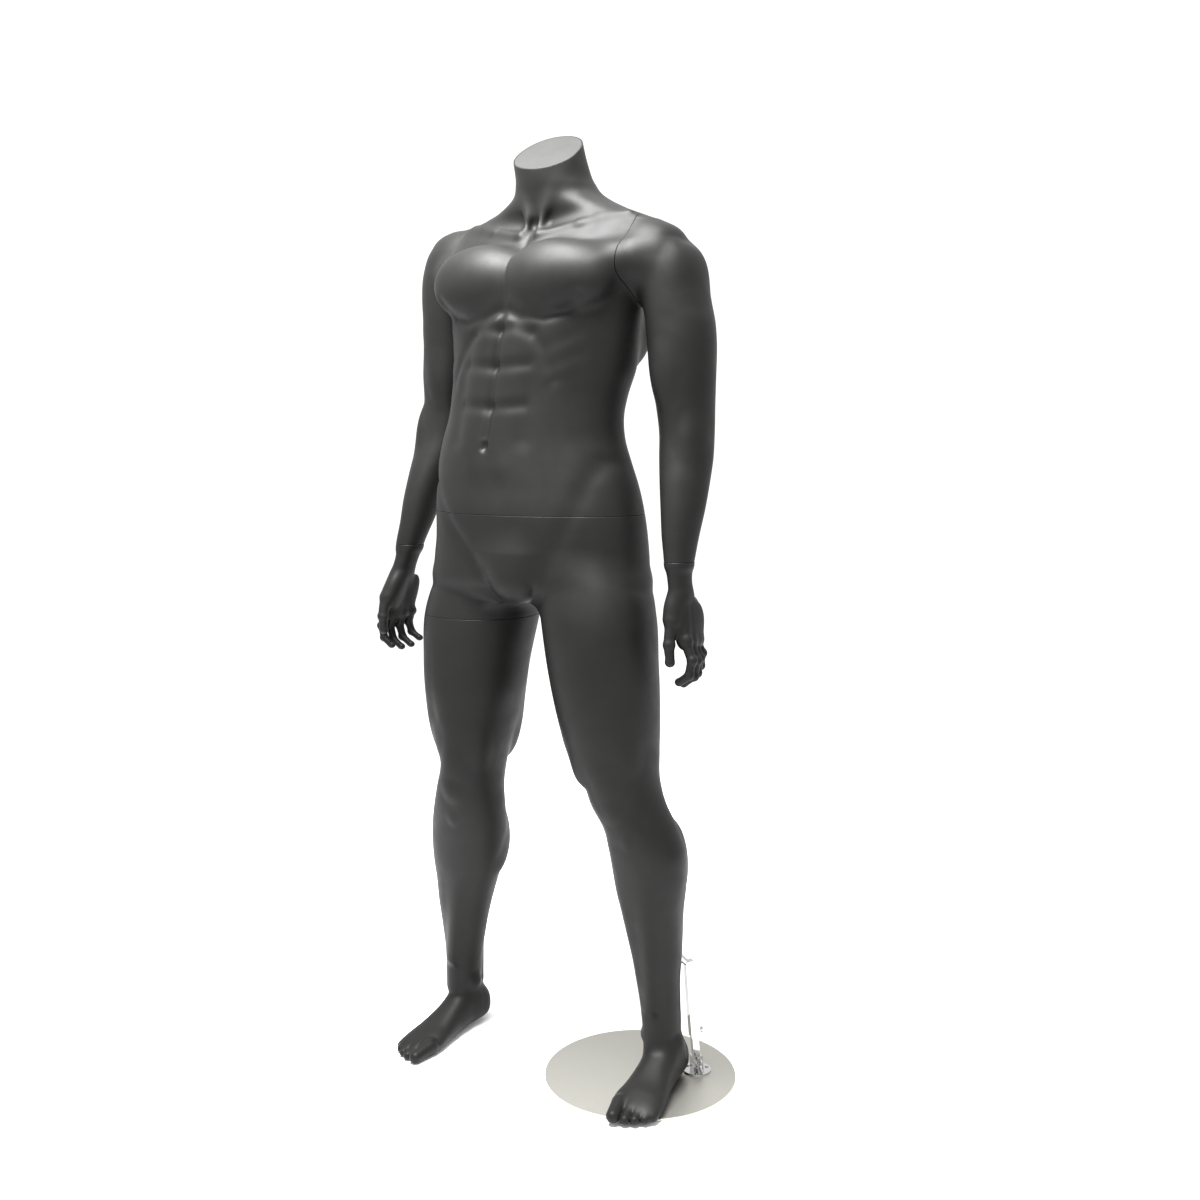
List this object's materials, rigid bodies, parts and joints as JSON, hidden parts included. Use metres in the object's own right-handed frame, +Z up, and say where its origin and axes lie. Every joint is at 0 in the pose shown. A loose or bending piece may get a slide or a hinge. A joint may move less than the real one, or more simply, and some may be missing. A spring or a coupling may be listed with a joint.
{
  "type": "headless display mannequin",
  "caption": "Headless standing male display mannequin in matte charcoal, with detachable torso, arms, hands and right leg, on a round calf-rod stand.",
  "frame": {"origin": "centre of the round base plate's underside, on the floor", "axes": "+Z up, the chest faces -Y, the figure's left side is on +X"},
  "size_m": [0.7513, 0.406, 1.6989],
  "materials": {
    "base_steel": "satin brushed stainless disc",
    "stand_chrome": "bright chrome plate",
    "pad_brass": "turned brass",
    "body_paint": "matte charcoal paint on moulded glass fibre",
    "closing_board": "painted closing board",
    "spring_steel": "spring steel",
    "screw_steel": "zinc plated steel",
    "fitting_steel": "zinc plated steel"
  },
  "bodies": {
    "stand_base": {"base_plate": "base_steel", "base_socket": "stand_chrome", "base_socket_screws": "stand_chrome"},
    "post": {"post": "stand_chrome"},
    "sleeve": {"sleeve": "stand_chrome", "calf_peg": "stand_chrome"},
    "socket_pad": {"socket_pad": "pad_brass"},
    "socket_wing_screw": {"socket_wing_screw": "stand_chrome"},
    "sleeve_pad": {"sleeve_pad": "pad_brass"},
    "sleeve_wing_screw": {"sleeve_wing_screw": "stand_chrome"},
    "lower_body": {"pelvis_left_leg_shell": "body_paint", "pelvis_waist_plate": "closing_board", "pelvis_thigh_plate": "closing_board", "waist_socket": "fitting_steel", "thigh_socket": "fitting_steel", "calf_socket": "fitting_steel", "lower_body_screws": "screw_steel"},
    "right_leg": {"right_leg_shell": "body_paint", "right_leg_plate": "closing_board", "thigh_spigot": "fitting_steel", "right_leg_screws": "screw_steel"},
    "torso": {"torso_shell": "body_paint", "neck_cap": "body_paint", "torso_waist_plate": "closing_board", "waist_spigot": "fitting_steel", "torso_left_shoulder_plate": "closing_board", "torso_right_shoulder_plate": "closing_board", "left_shoulder_socket": "fitting_steel", "right_shoulder_socket": "fitting_steel", "torso_screws": "screw_steel"},
    "left_shoulder_ring": {"left_shoulder_ring": "spring_steel"},
    "left_arm": {"left_arm_shell": "body_paint", "left_arm_shoulder_plate": "closing_board", "left_shoulder_peg": "fitting_steel", "left_arm_wrist_plug": "closing_board", "left_wrist_socket": "fitting_steel", "left_arm_screws": "screw_steel"},
    "left_wrist_ring": {"left_wrist_ring": "spring_steel"},
    "left_hand": {"left_hand": "body_paint", "left_wrist_peg": "fitting_steel"},
    "right_shoulder_ring": {"right_shoulder_ring": "spring_steel"},
    "right_arm": {"right_arm_shell": "body_paint", "right_arm_shoulder_plate": "closing_board", "right_shoulder_peg": "fitting_steel", "right_arm_wrist_plug": "closing_board", "right_wrist_socket": "fitting_steel", "right_arm_screws": "screw_steel"},
    "right_wrist_ring": {"right_wrist_ring": "spring_steel"},
    "right_hand": {"right_hand": "body_paint", "right_wrist_peg": "fitting_steel"}
  },
  "joints": [
    {"name": "post_lift", "type": "slide", "parent": "stand_base", "child": "post", "axis": [-0.0505, -0.071, 0.9962], "range_m": [0, 0.026]},
    {"name": "sleeve_height", "type": "slide", "parent": "post", "child": "sleeve", "axis": [-0.0505, -0.071, 0.9962], "range_m": [0, 0.05]},
    {"name": "figure_lift_off", "type": "slide", "parent": "sleeve", "child": "lower_body", "axis": [-0.41, -0.5761, 0.7071], "range_m": [0, 0.05]},
    {"name": "waist_lift_off", "type": "slide", "parent": "lower_body", "child": "torso", "axis": [0, 0, 1], "range_m": [0, 0.06]},
    {"name": "right_leg_pull_off", "type": "slide", "parent": "lower_body", "child": "right_leg", "axis": [0, 0, -1], "range_m": [0, 0.055]},
    {"name": "socket_screw_travel", "type": "slide", "parent": "stand_base", "child": "socket_pad", "axis": [0.8147, -0.5798, 0], "range_m": [0, 0.00375]},
    {"name": "socket_screw_turn", "type": "hinge", "parent": "socket_pad", "child": "socket_wing_screw", "pos_m": [0.0905, 0.0596, 0.02193], "axis": [0.8147, -0.5798, 0], "range_deg": [0, 1080]},
    {"name": "sleeve_screw_travel", "type": "slide", "parent": "sleeve", "child": "sleeve_pad", "axis": [0.5776, 0.8116, 0.0872], "range_m": [0, 0.00375]},
    {"name": "sleeve_screw_turn", "type": "hinge", "parent": "sleeve_pad", "child": "sleeve_wing_screw", "pos_m": [0.08362, 0.07408, 0.08184], "axis": [0.5776, 0.8116, 0.0872], "range_deg": [0, 1080]},
    {"name": "left_arm_pull_off", "type": "slide", "parent": "torso", "child": "left_shoulder_ring", "axis": [0.9976, 0, 0.0698], "range_m": [0, 0.046]},
    {"name": "left_arm_turn", "type": "hinge", "parent": "left_shoulder_ring", "child": "left_arm", "pos_m": [0.003, 0.004, 1.462], "axis": [-0.9976, 0, -0.0698], "range_deg": [-10, 40]},
    {"name": "left_hand_pull_off", "type": "slide", "parent": "left_arm", "child": "left_wrist_ring", "axis": [0, 0, -1], "range_m": [0, 0.034]},
    {"name": "left_hand_turn", "type": "hinge", "parent": "left_wrist_ring", "child": "left_hand", "pos_m": [0.098, -0.03, 0.956], "axis": [0, 0, 1], "range_deg": [-25, 25]},
    {"name": "right_arm_pull_off", "type": "slide", "parent": "torso", "child": "right_shoulder_ring", "axis": [-0.9976, 0, 0.0698], "range_m": [0, 0.046]},
    {"name": "right_arm_turn", "type": "hinge", "parent": "right_shoulder_ring", "child": "right_arm", "pos_m": [-0.389, 0.004, 1.462], "axis": [-0.9976, 0, 0.0698], "range_deg": [-10, 40]},
    {"name": "right_hand_pull_off", "type": "slide", "parent": "right_arm", "child": "right_wrist_ring", "axis": [0, 0, -1], "range_m": [0, 0.034]},
    {"name": "right_hand_turn", "type": "hinge", "parent": "right_wrist_ring", "child": "right_hand", "pos_m": [-0.506, -0.06, 0.956], "axis": [0, 0, 1], "range_deg": [-25, 25]}
  ],
  "couplings": [
    {"joint": "socket_screw_travel", "follows": "socket_screw_turn", "m_per_rad": 0.00019894},
    {"joint": "sleeve_screw_travel", "follows": "sleeve_screw_turn", "m_per_rad": 0.00019894}
  ]
}
